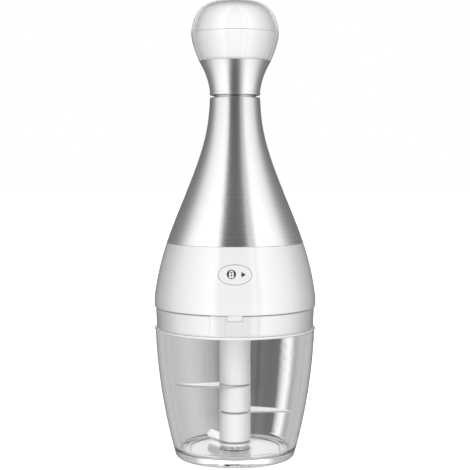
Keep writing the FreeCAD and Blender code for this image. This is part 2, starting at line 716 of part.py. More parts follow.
def make_drive_nut():
    """Nut at the foot of the plunger: its twisted slot turns the rod, its two keys stop it turning."""
    nut = new_body("nut_blank")
    revolve(nut, [
        (0, P.nut_bottom), (P.tube_radius, P.nut_bottom), (P.tube_radius, P.tube_bottom),
        (P.tube_radius - P.tube_wall, P.tube_bottom), (P.tube_radius - P.tube_wall, P.nut_top),
        (0, P.nut_top),
    ])
    keys = rectangle(-P.key_width / 2, -P.key_reach, P.key_width / 2, P.key_reach)
    pad(nut, "keys", [keys], P.tube_bottom - P.nut_bottom, P.nut_bottom)
    clearance = P.rod_clearance.value
    slot = twisted_bar("nut_slot", P.rod_radius.value + clearance, P.rod_thickness.value / 2 + clearance,
                       P.nut_bottom.value - 1.0, P.nut_top.value + 1.0)
    return node(cut("drive_nut", nut, slot))


def make_tube_plug():
    return node(lathe("tube_plug", [
        (P.screw_radius, P.plug_bottom), (P.tube_radius - P.tube_wall, P.plug_bottom),
        (P.tube_radius - P.tube_wall, P.tube_top), (P.screw_radius, P.tube_top),
    ]))


def make_knob_base():
    """White carrier inside the bell that joins tube, bell and knob."""
    wall = P.collar_wall
    return node(lathe("knob_base", [
        (P.tube_radius, P.collar_waist + 0.4), (P.collar_waist_radius - wall - 0.5, P.collar_waist + 0.4),
        (P.collar_waist_radius - wall - 0.1, P.collar_waist + 6.5),
        (P.collar_top_radius - wall - 3.6, P.collar_top - 5.2),
        (P.collar_top_radius - wall - 1.0, P.collar_top - 1.4),
        (P.collar_top_radius - wall - 1.0, P.knob_bottom), (P.tube_radius, P.knob_bottom),
    ]))


def make_knob_collar():
    """Steel bell under the knob, ending in a small rolled bead."""
    wall = P.collar_wall
    bead = 0.9
    return node(lathe("knob_collar", [
        (P.collar_top_radius - wall, P.collar_top), arc(P.collar_arc + wall),
        (P.collar_waist_radius - wall, P.collar_waist),
        (P.collar_waist_radius - wall, P.collar_bottom + 0.3), (P.collar_foot_radius - 0.3, P.collar_bottom),
        arc(bead), (P.collar_waist_radius + 0.15, P.collar_bottom + bead),
        (P.collar_waist_radius + 0.05, P.collar_waist - 0.35), (P.collar_waist_radius - 0.1, P.collar_waist),
        arc(-P.collar_arc), (P.collar_top_radius, P.collar_top),
    ]))


def make_knob_core():
    """White two-piece core of the knob; the cap meets the lower cup at a fine seam."""
    top = P.core_top
    blank = lathe("core_blank", [
        (0, top), (0, top - P.core_wall), (P.core_bottom_radius - P.core_wall - 2.0, top - P.core_wall - 3.0),
        (P.core_bottom_radius - P.core_wall, P.core_seam), (P.core_bottom_radius - P.core_wall, P.core_floor),
        (P.screw_radius, P.core_floor), (P.screw_radius, P.core_bottom),
        (P.core_bottom_radius, P.core_bottom),
        spline(list(reversed(CORE_POLES))),
    ])
    reach = P.skirt_radius
    above = cylinder("above_core_seam", reach, P.core_seam + P.core_seam_gap, P.core_top + 10.0)
    below = cylinder("below_core_seam", reach, P.core_bottom - 10.0, P.core_seam)
    node(common("knob_core_cap", blank, above))
    node(common("knob_core_lower", blank, below))


def make_knob_shell():
    """Thick clear dome over the core."""
    gap = P.shell_air_gap
    inner = [(x + gap, y + (gap if number == 0 else 0)) for number, (x, y) in enumerate(CORE_POLES)]
    return node(lathe("knob_shell", [
        (0, P.core_top + gap), spline(inner), (P.core_bottom_radius + gap, P.knob_bottom),
        (P.knob_bottom_radius, P.knob_bottom), spline(list(reversed(KNOB_POLES))), (0, P.knob_top),
    ]))


def make_return_spring():
    low = P.rod_top + P.cap_height
    return node(coil("return_spring", P.return_spring_radius, P.return_spring_wire, low, P.plug_bottom, 7))


# ---------------------------------------------------------------- drive and blades

def make_spindle():
    """Spindle in the head's bush: flange and rod socket above, hexagonal drive below."""
    spindle = lathe("spindle", [
        (0, P.drive_hex_top), (P.spindle_radius, P.drive_hex_top), (P.spindle_radius, P.clip_bottom),
        (P.clip_groove, P.clip_bottom), (P.clip_groove, P.clip_bottom + P.clip_thickness),
        (P.spindle_radius, P.clip_bottom + P.clip_thickness), (P.spindle_radius, P.spindle_top),
        (P.spindle_flange_radius, P.spindle_top), (P.spindle_flange_radius, P.spindle_top + P.spindle_flange),
        (P.rod_radius, P.spindle_top + P.spindle_flange), (P.rod_radius, P.rod_bottom), (0, P.rod_bottom),
    ])
    pad(spindle, "drive", [hexagon(P.drive_hex)], P.drive_hex_top - P.drive_hex_bottom, P.drive_hex_bottom)
    return node(spindle)


def make_spiral_rod():
    return node(twisted_bar("spiral_rod", P.rod_radius.value, P.rod_thickness.value / 2,
                            P.rod_bottom.value, P.rod_top.value))


def make_spring_cap():
    return node(cylinder("spring_cap", P.cap_radius, P.rod_top, P.rod_top + P.cap_height))


def make_retaining_ring():
    """Open clip in the spindle's groove, under the bush."""
    ring = lathe("retaining_ring", [
        (P.clip_groove, P.clip_bottom), (P.clip_radius, P.clip_bottom),
        (P.clip_radius, P.clip_bottom + P.clip_thickness), (P.clip_groove, P.clip_bottom + P.clip_thickness),
    ])
    opening = rectangle(0, -3.0, P.clip_radius + 1.0, 3.0)
    pocket(ring, "opening", [opening], P.clip_thickness + 2.0, P.clip_bottom + P.clip_thickness + 1.0)
    return node(ring)


def make_shaft_core():
    """Hexagonal core of the blade shaft: drive socket on top, pivot hole below."""
    core = new_body("shaft_core")
    foot = P.shaft_bottom + 0.3
    pad(core, "bar", [hexagon(P.shaft_hex)], P.shaft_top - foot, foot)
    pocket(core, "drive_socket", [hexagon(P.socket_hex)], P.shaft_top - P.socket_bottom, P.shaft_top)
    hole = circle(0, 0, P.pin_radius + P.pin_clearance)
    pocket(core, "pivot_hole", [hole], P.pivot_depth - foot, P.pivot_depth)
    return node(core)


def make_sleeve(label, low, high):
    """One white sleeve of the blade shaft, with softly broken ends."""
    edge = P.shaft_chamfer
    inner = P.shaft_hex / math.sqrt(3) - 3.0
    sleeve = lathe(label, [
        (inner, low), (P.shaft_radius - edge, low), (P.shaft_radius, low + edge),
        (P.shaft_radius, high - edge), (P.shaft_radius - edge, high), (inner, high),
    ])
    pocket(sleeve, "hex_hole", [hexagon(P.shaft_hex)], high - low + 2.0, high + 1.0)
    return node(sleeve)


def make_blade(label, reach, height):
    """Sickle blade: convex leading edge with a ground bevel, hollow back, hub clamped between sleeves."""
    hub = P.blade_hub
    blade = new_body(label)
    wrap, middle, heel = [(hub * math.cos(a), hub * math.sin(a)) for a in map(math.radians, BLADE_HUB_ANGLES)]
    outline = [
        (reach, 0.0), (reach - 0.4, 0.8), arc(P.blade_belly), wrap, arc(hub), middle, arc(hub), heel,
        arc(-P.blade_back),
    ]
    turn = BLADE_TURNS[label]
    plate = pad(blade, "plate", [outline, hexagon(P.shaft_hex, -turn)], P.blade_thickness)
    doc.recompute()
    edges = [
        "Edge%d" % (number + 1) for number, edge in enumerate(plate.Shape.Edges)
        if isinstance(edge.Curve, Part.Circle) and abs(edge.Curve.Radius - P.blade_belly.value) < 1e-4
        and abs(edge.BoundBox.ZMin - P.blade_thickness.value) < 1e-6
    ]
    bevel = blade.newObject("PartDesign::Chamfer", "bevel")
    bevel.Base = (plate, edges)
    bevel.ChamferType = "Two distances"
    bind(bevel, "Size", P.blade_bevel_depth)
    bind(bevel, "Size2", P.blade_bevel_width)
    blade.Placement = FreeCAD.Placement(V(0, 0, height.value), FreeCAD.Rotation(UP, turn))
    bind(blade, ".Placement.Base.z", height)
    return node(blade)


# ---------------------------------------------------------------- button and latch

def make_release_button():
    """Raised oval button with a rounded edge, and a rim behind the wall that keeps it in."""
    face = lathe("button_face_blank", [
        (P.skirt_radius + P.button_rise, P.skirt_shoulder), arc(P.skirt_arc),
        (P.seam_radius + P.button_rise, P.seam_height), (P.seam_radius - P.button_thickness, P.seam_height),
        arc(-P.skirt_arc), (P.skirt_radius - P.button_thickness, P.skirt_shoulder),
    ])
    behind = P.skirt_wall + 0.3
    rim = lathe("button_rim_blank", [
        (P.skirt_radius - behind, P.skirt_shoulder), arc(P.skirt_arc),
        (P.seam_radius - behind, P.seam_height),
        (P.seam_radius - behind - P.button_rim_thickness, P.seam_height), arc(-P.skirt_arc),
        (P.skirt_radius - behind - P.button_rim_thickness, P.skirt_shoulder),
    ])
    prisms = []
    for name, extra in (("button_prism", sized(0)), ("button_rim_prism", P.button_rim)):
        prism = new_body(name)
        shape = oval(0, P.button_height, P.button_half_width + extra, P.button_half_height + extra)
        pad(prism, name + "_pad", [shape], P.skirt_radius + 5.0, 0, "XZ_Plane")
        prisms.append(prism)
    front = common("button_front", face, prisms[0])
    back = common("button_back", rim, prisms[1])
    doc.recompute()
    outer_face = min(front.Shape.Faces, key=lambda side: side.CenterOfMass.y)
    rounded = doc.addObject("Part::Fillet", "button_rounded")
    rounded.Base = front
    rounded.Edges = [
        (number, P.button_round.value, P.button_round.value)
        for number, edge in enumerate(front.Shape.Edges, 1)
        if any(edge.isSame(rim_edge) for rim_edge in outer_face.Edges)
    ]
    return node(fuse("release_button", rounded, back))


def make_button_spring():
    """Spring between the bracket and the button, along Y."""
    low = P.bracket_y
    high = P.skirt_radius * 0.8545
    place = FreeCAD.Placement(V(0, 0, P.button_height.value), FreeCAD.Rotation(V(1, 0, 0), 90.0))
    return node(coil("button_spring", P.button_spring_radius, P.spring_wire, low, high, 4, place))


def make_latch_slide():
    """Latch: a tab that hangs below the skirt and a web that carries its spring."""
    latch = new_body("latch_slide")
    half = P.tab_half_width
    corner = P.tab_corner
    tab = [
        (-half, P.tab_bottom + corner), arc(corner), (-half + corner, P.tab_bottom),
        (half - corner, P.tab_bottom), arc(corner), (half, P.tab_bottom + corner),
        (half, P.latch_web_bottom + P.latch_web_thickness),
        (-half, P.latch_web_bottom + P.latch_web_thickness),
    ]
    pad(latch, "tab", [tab], P.tab_outer - P.tab_inner, P.tab_inner, "XZ_Plane")
    web = rectangle(-half, -P.tab_outer, half, -P.latch_reach)
    pad(latch, "web", [web], P.latch_web_thickness, P.latch_web_bottom)
    return node(latch)


def make_latch_spring():
    low = P.latch_web_bottom + P.latch_web_thickness
    place = FreeCAD.Placement(V(0, -P.latch_spring_y.value, 0), FreeCAD.Rotation())
    return node(coil("latch_spring", P.latch_spring_radius, P.spring_wire, low, P.shelf_bottom, 4, place))


# ---------------------------------------------------------------- assembly

def make_all():
    make_bowl()
    make_pivot_pin()
    make_lock_ring()
    make_lid_disc()
    make_rim_seal()
    make_skirt()
    make_steel_shell()
    make_head_base()
    make_spindle_bush()
    make_guide_tube()
    flange_top = P.base_top + P.guide_flange
    make_screws("guide_screws", P.guide_screw_circle, flange_top, flange_top + P.screw_head_height,
                P.base_bottom + 0.2, flange_top)
    make_screws("base_screws", P.base_screw_circle, P.base_bottom - P.screw_head_height, P.base_bottom,
                P.base_bottom, P.base_bottom + P.screw_length)
    make_neck_ring()
    make_detent_ring()
    make_button_bracket()
    make_plunger_tube()
    make_drive_nut()
    make_tube_plug()
    make_knob_base()
    make_knob_collar()
    make_knob_core()
    make_knob_shell()
    make_screws("knob_screw", sized(0), P.core_floor, P.core_floor + P.screw_head_height,
                P.plug_bottom + 0.5, P.core_floor, 0.0, 1)
    make_return_spring()
    make_spindle()
    make_spiral_rod()
    make_spring_cap()
    make_retaining_ring()
    make_shaft_core()
    make_sleeve("shaft_foot", P.shaft_bottom, P.blade_lower)
    make_sleeve("shaft_lower", P.blade_lower + P.blade_thickness, P.blade_middle)
    make_sleeve("shaft_middle", P.blade_middle + P.blade_thickness, P.blade_upper)
    make_sleeve("shaft_upper", P.blade_upper + P.blade_thickness, P.shaft_top)
    make_blade("lower_blade", P.blade_reach_lower, P.blade_lower)
    make_blade("middle_blade", P.blade_reach_middle, P.blade_middle)
    make_blade("upper_blade", P.blade_reach_upper, P.blade_upper)
    make_release_button()
    make_button_spring()
    make_latch_slide()
    make_latch_spring()


def write_all():
    doc.recompute()
    for feature in doc.Objects:
        if "Invalid" in feature.State or "Error" in feature.State:
            raise RuntimeError("%s is in state %s" % (feature.Label, feature.State))
    for feature in nodes:
        shape = feature.Shape
        if shape.isNull() or not shape.isValid():
            raise RuntimeError("%s has no valid shape" % feature.Label)
    os.makedirs(OUT_DIR, exist_ok=True)
    for feature in nodes:
        feature.Shape.exportStep(os.path.join(OUT_DIR, feature.Label + ".step"))
        print("%-18s %8.2f cm3  %d solid(s)" % (feature.Label, feature.Shape.Volume / 1000,
                                               len(feature.Shape.Solids)))


make_all()
write_all()
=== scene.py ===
import json
import math

import bmesh
import bpy
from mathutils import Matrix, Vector
from mathutils.bvhtree import BVHTree


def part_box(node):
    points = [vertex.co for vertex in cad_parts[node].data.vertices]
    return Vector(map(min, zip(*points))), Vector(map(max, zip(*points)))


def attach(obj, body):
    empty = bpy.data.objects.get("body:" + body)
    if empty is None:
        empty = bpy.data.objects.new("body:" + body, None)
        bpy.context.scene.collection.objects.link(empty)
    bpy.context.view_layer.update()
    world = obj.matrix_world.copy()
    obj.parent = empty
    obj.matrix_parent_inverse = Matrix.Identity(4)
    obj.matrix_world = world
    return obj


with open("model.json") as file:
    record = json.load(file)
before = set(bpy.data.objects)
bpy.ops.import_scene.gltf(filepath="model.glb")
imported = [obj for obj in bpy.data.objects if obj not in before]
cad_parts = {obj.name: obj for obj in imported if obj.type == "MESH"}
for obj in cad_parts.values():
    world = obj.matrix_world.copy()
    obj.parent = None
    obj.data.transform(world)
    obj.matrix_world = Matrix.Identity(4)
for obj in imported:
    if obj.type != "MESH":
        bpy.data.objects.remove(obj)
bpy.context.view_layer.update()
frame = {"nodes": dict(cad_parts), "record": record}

NODES = frame["nodes"]
MM = 0.001

# Where the camera stands and the point it looks at, in metres; its lens and its sensor's width, in
# millimetres.
CAMERA_PLACE = Vector((0.0, -0.724, 0.1838))
CAMERA_AIM = Vector((0.0, 0.0, 0.1374))
CAMERA_LENS = 89.5
CAMERA_SENSOR = 36.0

# Nodes whose look differs a little from the rest of their slot. The lock ring's darker white is painted shade
# and the shaft's and knob core's whiter white is painted light, both copies of the white plastic; the collar
# and the knob shell differ in finish.
OWN_LOOKS = {
    "lock_ring": "ring_white",
    "knob_shell": "knob_plastic",
    "knob_collar": "collar_steel",
    "knob_core_lower": "bright_white",
    "knob_core_cap": "bright_white",
    "shaft_foot": "bright_white",
    "shaft_lower": "bright_white",
    "shaft_middle": "bright_white",
    "shaft_upper": "bright_white",
}
# Clear walls let the room's soft light through to what they hold.
CLEAR_NODES = ("bowl", "knob_shell")

# The bowl's lip starts LIP_DROP below the lock ring and turns pale over a blend width, both in metres;
# LIP_CLARITY is what is left of its clearness. The pale lip is a painted highlight of the light its edge
# gathers.
LIP_DROP = 0.0018
LIP_HIGHLIGHT_BLEND = 0.0006
LIP_CLARITY = 0.1
CLEAR_ROUGHNESS = 0.012

# Grain of moulded plastics: its noise scale and its depth in metres.
GLOSSY_GRAIN = (1800.0, 0.00002)
SATIN_GRAIN = (900.0, 0.00006)

# Brushed steel: how its line noise is stretched by axis, and the share of patches in its roughness.
BRUSH_STRETCH = (18.0, 18.0, 6000.0)
BRUSH_PATCHES = 0.25

# The floor, and the patch under the bowl's foot, whose radius is a share of the bowl's half-width; in metres.
# The patch is a glowing disc whose dimmer glow is painted shade under the bowl.
FLOOR_RADIUS = 6.0
FLOOR_GLOW = 0.62
FLOOR_WHITENESS = 0.95
PATCH_SHARE = 0.74
PATCH_HEIGHT = -0.0002
PATCH_SHADE_GLOW = 0.5
PATCH_WHITENESS = 0.02

# The button's print, in millimetres from the button's middle, as seen from the front. The padlock
# stands on its base, LOCK_DROP below its disc's middle; the shackle and the keyhole are placed by
# their height over that base.
LOCK_SIGN = (-2.1, 0.4)
LOCK_DISC = 5.4
LOCK_DROP = 2.1
BODY_HALF_WIDTH = 1.38
BODY_HEIGHT = 2.76
BODY_CORNER = 0.25
SHACKLE_HEIGHT = 2.7
SHACKLE_SIZES = {"outer": 2.5, "inner": 1.2, "leg": 0.35}
KEYHOLE_HEIGHT = 1.5
KEYHOLE_SIZES = {"across": 0.9, "up": 1.2}
ARROW_TAIL = 3.7
ARROW_TIP = 6.3
ARROW_HEIGHT = 0.2
ARROW_HALF_WIDTH = 1.6
ARROW_CORNER = 0.15

# How far each film of ink stands out of the face, in metres; later films lie over earlier ones.
DARK_FILM = 0.02 * MM
WHITE_FILM = 0.035 * MM
KEYHOLE_FILM = 0.05 * MM
# Ink is cut into cells of this size, laid on from this far in front and bites this far into the face,
# in metres.
PRINT_GRID = 0.0005
PRINT_START = 0.002
PRINT_BITE = 0.0001

# Inputs and output of a Mix node that mixes colours.
MIX_FIRST, MIX_SECOND, MIX_RESULT = 6, 7, 2


def both_sides(stops):
    """Stops given for one side, on both sides of the front."""
    return {**{-turn: brightness for turn, brightness in stops.items()}, **stops}


# The studio's brightness by azimuth, in degrees from the front, for each kind of ray: the output of
# the Light Path node that picks it, its strength and its stops. Soft light is for all that is left.
STUDIO = {
    "soft": (None, 1.0, both_sides({
        0: 0.70, 12: 0.80, 18: 1.90, 44: 1.90, 54: 0.63, 72: 0.14, 90: 0.03, 140: 0.03, 150: 1.4,
        180: 1.4,
    })),
    "gloss": ("Is Glossy Ray", 2.0, {
        -180: 0.10, -152: 0.12, -125: 0.17, -112: 0.26, -105: 0.36, -96: 0.56, -87: 0.72, -74: 0.80,
        -66: 0.86, -54: 0.90, -40: 0.95, -32: 0.95, -23: 0.085, 0: 0.075, 21: 0.085, 26: 0.55,
        31: 0.55, 34: 0.15, 37: 0.55, 40: 0.95, 54: 0.90, 66: 0.86, 74: 0.80, 87: 0.72, 96: 0.56,
        105: 0.36, 112: 0.26, 125: 0.17, 152: 0.12, 180: 0.10,
    }),
    "through": ("Is Transmission Ray", 1.0, {
        -180: 0.18, -178.5: 0.22, -177: 0.39, -176: 0.51, -174.5: 0.60, -173: 0.60, -171: 0.52,
        -168: 0.50, -160: 0.58, -130: 0.60, -100: 0.60, -85: 0.45, -50: 0.55, -35: 0.65, 0: 0.70,
        60: 0.60, 75: 0.45, 95: 0.45, 110: 0.60, 130: 0.60, 160: 0.55, 166: 0.46, 169: 0.34,
        170.5: 0.8, 172: 1.3, 173.3: 0.75, 174.4: 0.03, 176: 0.02, 178: 0.07, 180: 0.18,
    }),
    "plain": ("Is Camera Ray", 1.0, {-180: 1.0, 180: 1.0}),
}
# What shows through the clear parts as a direction rises, overhead first and then the top: the stops by
# azimuth, and the share they take by the direction's Z, 0 level and 1 straight up.
OVERHEAD = both_sides({0: 1.1, 50: 1.1, 75: 0.45, 125: 0.45, 150: 0.5, 164: 1.5, 180: 1.5})
TOP = both_sides({0: 1.1, 50: 1.1, 75: 0.45, 180: 0.45})
HIGHER = ((OVERHEAD, {0.14: 0.0, 0.20: 1.0}), (TOP, {0.32: 0.0, 0.46: 1.0}))


# ------------------------------------------------------------------ node trees

def link(tree, source, target):
    tree.links.new(source, target)


def new_node(tree, kind, **properties):
    made = tree.nodes.new(kind)
    for name, value in properties.items():
        setattr(made, name, value)
    return made


def set_inputs(node, **values):
    """Sets a node's inputs by their names, in lower case and with underscores."""
    names = {name.replace(" ", "_").lower(): name for name in node.inputs.keys()}
    for name, value in values.items():
        node.inputs[names[name]].default_value = value


def new_material(name):
    material = bpy.data.materials.new(name)
    material.use_nodes = True
    tree = material.node_tree
    tree.nodes.clear()
    out = new_node(tree, "ShaderNodeOutputMaterial")
    shader = new_node(tree, "ShaderNodeBsdfPrincipled")
    link(tree, shader.outputs["BSDF"], out.inputs["Surface"])
    return material, tree, shader


def neutral(brightness):
    return (brightness,) * 3


def scaled(colour, factor):
    return tuple(part * factor for part in colour)


def stretched_noise(tree, scale, stretch=(1.0, 1.0, 1.0), detail=4.0):
    """Noise over object coordinates, stretched by axis."""
    place = new_node(tree, "ShaderNodeTexCoord")
    mapping = new_node(tree, "ShaderNodeMapping")
    noise = new_node(tree, "ShaderNodeTexNoise")
    set_inputs(mapping, scale=stretch)
    set_inputs(noise, scale=scale, detail=detail)
    link(tree, place.outputs["Object"], mapping.inputs["Vector"])
    link(tree, mapping.outputs["Vector"], noise.inputs["Vector"])
    return noise.outputs["Fac"]


def maths(tree, operation, *operands):
    """A Math node's result; an operand is a number or another node's output."""
    made = new_node(tree, "ShaderNodeMath", operation=operation)
    for socket, operand in zip(made.inputs, operands):
        if isinstance(operand, float):
            socket.default_value = operand
        else:
            link(tree, operand, socket)
    return made.outputs[0]


def ranged(tree, value, low, high, start=0.0, end=1.0):
    """From low to high as the value goes from start to end."""
    ramp = new_node(tree, "ShaderNodeMapRange")
    set_inputs(ramp, from_min=start, from_max=end, to_min=low, to_max=high)
    link(tree, value, ramp.inputs["Value"])
    return ramp.outputs["Result"]


def split(tree, space):
    """The X, Y and Z outputs of a place, or of a direction, in one of the texture coordinate spaces."""
    place = new_node(tree, "ShaderNodeTexCoord")
    parts = new_node(tree, "ShaderNodeSeparateXYZ")
    link(tree, place.outputs[space], parts.inputs["Vector"])
    return parts.outputs


def tinted(tree, factor, dark, light):
    """From the dark colour to the light one as the factor goes from 0 to 1."""
    mix = new_node(tree, "ShaderNodeMix", data_type="RGBA")
    mix.inputs[MIX_FIRST].default_value = (*dark, 1.0)
    mix.inputs[MIX_SECOND].default_value = (*light, 1.0)
    link(tree, factor, mix.inputs["Factor"])
    return mix.outputs[MIX_RESULT]


def blended(tree, factor, first, second):
    """From the first node's colour to the second's as the factor goes from 0 to 1."""
    mix = new_node(tree, "ShaderNodeMix", data_type="RGBA")
    link(tree, first, mix.inputs[MIX_FIRST])
    link(tree, second, mix.inputs[MIX_SECOND])
    link(tree, factor, mix.inputs["Factor"])
    return mix.outputs[MIX_RESULT]


def coloured(tree, shader, pattern, dark, light):
    """The base colour follows a pattern from dark to light."""
    link(tree, tinted(tree, pattern, dark, light), shader.inputs["Base Color"])


def roughened(tree, shader, pattern, low, high):
    """The roughness follows a pattern from low to high."""
    link(tree, ranged(tree, pattern, low, high), shader.inputs["Roughness"])


def bumped(tree, shader, pattern, strength, distance):
    bump = new_node(tree, "ShaderNodeBump")
    set_inputs(bump, strength=strength, distance=distance)
    link(tree, pattern, bump.inputs["Height"])
    link(tree, bump.outputs["Normal"], shader.inputs["Normal"])


# ------------------------------------------------------------------ materials

def brushed_steel(name, grey, roughness, heights=(0.0, 1.0), rougher=0.0, top_painted_shade=1.0):
    """Steel brushed in fine rings round the object's axis; up a span of heights it may get rougher, and
    darker in colour as painted shade.
    """
    material, tree, shader = new_material(name)
    set_inputs(shader, metallic=1.0, anisotropic=0.7, anisotropic_rotation=0.25)
    lines = stretched_noise(tree, scale=1.0, stretch=BRUSH_STRETCH, detail=2.0)
    patches = stretched_noise(tree, scale=60.0, stretch=(1.0, 1.0, 2.0), detail=3.0)
    uneven = maths(tree, "MULTIPLY_ADD", patches, BRUSH_PATCHES, lines)
    rise = ranged(tree, split(tree, "Object")["Z"], 0.0, 1.0, *heights)
    dark = scaled((0.90, 0.90, 0.905), grey)
    light = scaled((1.06, 1.06, 1.065), grey)
    bottom = tinted(tree, lines, dark, light)
    # The top colours are darkened: painted shade on the upper steel.
    top = tinted(tree, lines, scaled(dark, top_painted_shade), scaled(light, top_painted_shade))
    link(tree, blended(tree, rise, bottom, top), shader.inputs["Base Color"])
    lower = ranged(tree, uneven, low=roughness - 0.05, high=roughness + 0.07)
    total = maths(tree, "ADD", lower, ranged(tree, rise, low=0.0, high=rougher))
    link(tree, total, shader.inputs["Roughness"])
    bumped(tree, shader, lines, strength=0.14, distance=0.00004)
    tangent = new_node(tree, "ShaderNodeTangent", direction_type="RADIAL", axis="Z")
    link(tree, tangent.outputs["Tangent"], shader.inputs["Tangent"])
    return material


def machined_steel(name, grey, roughness):
    """Turned or drawn steel with faint tool marks."""
    material, tree, shader = new_material(name)
    set_inputs(shader, metallic=1.0)
    marks = stretched_noise(tree, scale=900.0, stretch=(1.0, 1.0, 3.0), detail=3.0)
    dark = scaled((0.9, 0.9, 0.91), grey)
    light = scaled((1.05, 1.05, 1.06), grey)
    coloured(tree, shader, marks, dark, light)
    roughened(tree, shader, marks, low=roughness * 0.8, high=roughness * 1.25)
    bumped(tree, shader, marks, strength=0.15, distance=0.00003)
    return material


def blade_steel(name):
    """Ground blade: straight grinding lines, brighter and duller in turn."""
    material, tree, shader = new_material(name)
    set_inputs(shader, metallic=1.0)
    lines = stretched_noise(tree, scale=1.0, stretch=(2500.0, 300.0, 300.0), detail=2.0)
    coloured(tree, shader, lines, dark=(0.68, 0.68, 0.69), light=(0.86, 0.86, 0.87))
    roughened(tree, shader, lines, low=0.16, high=0.30)
    bumped(tree, shader, lines, strength=0.1, distance=0.00002)
    return material


def moulded_plastic(name, dark, light, roughness, grain, coat=0.0):
    """Injection-moulded plastic: faint flow mottling, fine grain in the gloss."""
    material, tree, shader = new_material(name)
    set_inputs(shader, ior=1.5, specular_ior_level=0.5 + coat / 2)
    set_inputs(shader, coat_weight=coat, coat_roughness=0.06)
    grain_scale, grain_depth = grain
    mottle = stretched_noise(tree, scale=35.0, detail=3.0)
    fine = stretched_noise(tree, scale=grain_scale, detail=2.0)
    coloured(tree, shader, mottle, dark, light)
    roughened(tree, shader, mottle, low=roughness * 0.85, high=roughness * 1.2)
    bumped(tree, shader, fine, strength=0.2, distance=grain_depth)
    return material


def clear_plastic(name, tint, lip_highlight_above=None):
    """Clear, thick-walled plastic with very faint handling marks; above a given height it may turn pale, a
    painted highlight on a lip.
    """
    material, tree, shader = new_material(name)
    set_inputs(shader, ior=1.5, specular_ior_level=0.3, transmission_weight=1.0)
    marks = stretched_noise(tree, scale=160.0, stretch=(1.0, 1.0, 0.4), detail=5.0)
    waves = stretched_noise(tree, scale=45.0, detail=1.0)
    coloured(tree, shader, marks, dark=scaled(tint, 0.985), light=tint)
    roughened(tree, shader, marks, low=CLEAR_ROUGHNESS * 0.3, high=CLEAR_ROUGHNESS * 1.6)
    bumped(tree, shader, waves, strength=0.05, distance=0.0002)
    if lip_highlight_above is not None:
        # A pale lip above the height: painted highlight.
        height = split(tree, "Object")["Z"]
        clarity = ranged(tree, height, 1.0, LIP_CLARITY, lip_highlight_above, lip_highlight_above + LIP_HIGHLIGHT_BLEND)
        link(tree, clarity, shader.inputs["Transmission Weight"])
    return material


def silicone(name):
    """Pale translucent silicone with a dusty skin."""
    material, tree, shader = new_material(name)
    set_inputs(shader, roughness=0.45, ior=1.41, subsurface_weight=0.3, subsurface_scale=0.002)
    dust = stretched_noise(tree, scale=600.0)
    coloured(tree, shader, dust, dark=(0.66, 0.66, 0.67), light=(0.76, 0.76, 0.77))
    bumped(tree, shader, dust, strength=0.2, distance=0.00005)
    return material


def bronze(name):
    """Sintered bronze: a dull metal of fine grains."""
    material, tree, shader = new_material(name)
    set_inputs(shader, metallic=1.0)
    grains = stretched_noise(tree, scale=1500.0, detail=3.0)
    coloured(tree, shader, grains, dark=(0.42, 0.27, 0.12), light=(0.62, 0.43, 0.22))
    roughened(tree, shader, grains, low=0.3, high=0.5)
    return material


def print_ink(name):
    """Dark grey pad-printed ink with a slightly uneven film."""
    material, tree, shader = new_material(name)
    set_inputs(shader, ior=1.45)
    film = stretched_noise(tree, scale=2500.0, detail=3.0)
    coloured(tree, shader, film, dark=(0.030, 0.030, 0.031), light=(0.050, 0.050, 0.052))
    roughened(tree, shader, film, low=0.35, high=0.5)
    return material


def make_materials():
    """Every look by its name: the record's slots, the nodes' own looks and the print."""
    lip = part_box("lock_ring")[0][2] - LIP_DROP
    steel_low, steel_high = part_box("steel_shell")
    steel_heights = (steel_low[2], steel_high[2])
    looks = {
        # The bowl's pale lip is a painted highlight.
        "clear_plastic": (clear_plastic, dict(tint=(0.96, 0.965, 0.97), lip_highlight_above=lip)),
        "knob_plastic": (clear_plastic, dict(tint=neutral(1.0))),
        "white_gloss": (moulded_plastic, dict(
            dark=neutral(0.86), light=neutral(0.89), roughness=0.16, grain=GLOSSY_GRAIN, coat=0.7)),
        # A darker copy of the white plastic with a stronger coat; its darkness is painted shade.
        "ring_white": (moulded_plastic, dict(
            dark=neutral(0.79), light=neutral(0.82), roughness=0.13, grain=GLOSSY_GRAIN, coat=1.0)),
        # A whiter copy of the white plastic; its whiteness is painted light.
        "bright_white": (moulded_plastic, dict(
            dark=neutral(0.93), light=neutral(0.96), roughness=0.2, grain=GLOSSY_GRAIN, coat=0.5)),
        "white_satin": (moulded_plastic, dict(
            dark=(0.76, 0.76, 0.75), light=(0.82, 0.82, 0.81), roughness=0.42, grain=SATIN_GRAIN)),
        "grey_plastic": (moulded_plastic, dict(
            dark=(0.20, 0.205, 0.21), light=(0.26, 0.265, 0.27), roughness=0.45, grain=SATIN_GRAIN)),
        # The steel shell's colour darkens towards its top: painted shade.
        "brushed_steel": (brushed_steel, dict(
            grey=0.66, roughness=0.23, heights=steel_heights, rougher=0.10, top_painted_shade=0.82)),
        "collar_steel": (brushed_steel, dict(grey=0.62, roughness=0.33)),
        "blade_steel": (blade_steel, {}),
        "polished_steel": (machined_steel, dict(grey=0.70, roughness=0.18)),
        "spring_wire": (machined_steel, dict(grey=0.50, roughness=0.32)),
        "silicone": (silicone, {}),
        "bronze": (bronze, {}),
        "print_ink": (print_ink, {}),
    }
    return {name: build(name, **values) for name, (build, values) in looks.items()}


def dress(obj, material):
    obj.data.materials.clear()
    obj.data.materials.append(material)


def dress_frame(materials):
    for part in frame["record"]["subparts"]:
        look = OWN_LOOKS.get(part["node"], part["material_slot"])
        dress(NODES[part["node"]], materials[look])
    for name in CLEAR_NODES:
        NODES[name].visible_diffuse = False
        NODES[name].visible_shadow = False


# ------------------------------------------------------------------ stage

def new_object(name, data):
    made = bpy.data.objects.new(name, data)
    bpy.context.scene.collection.objects.link(made)
    return made


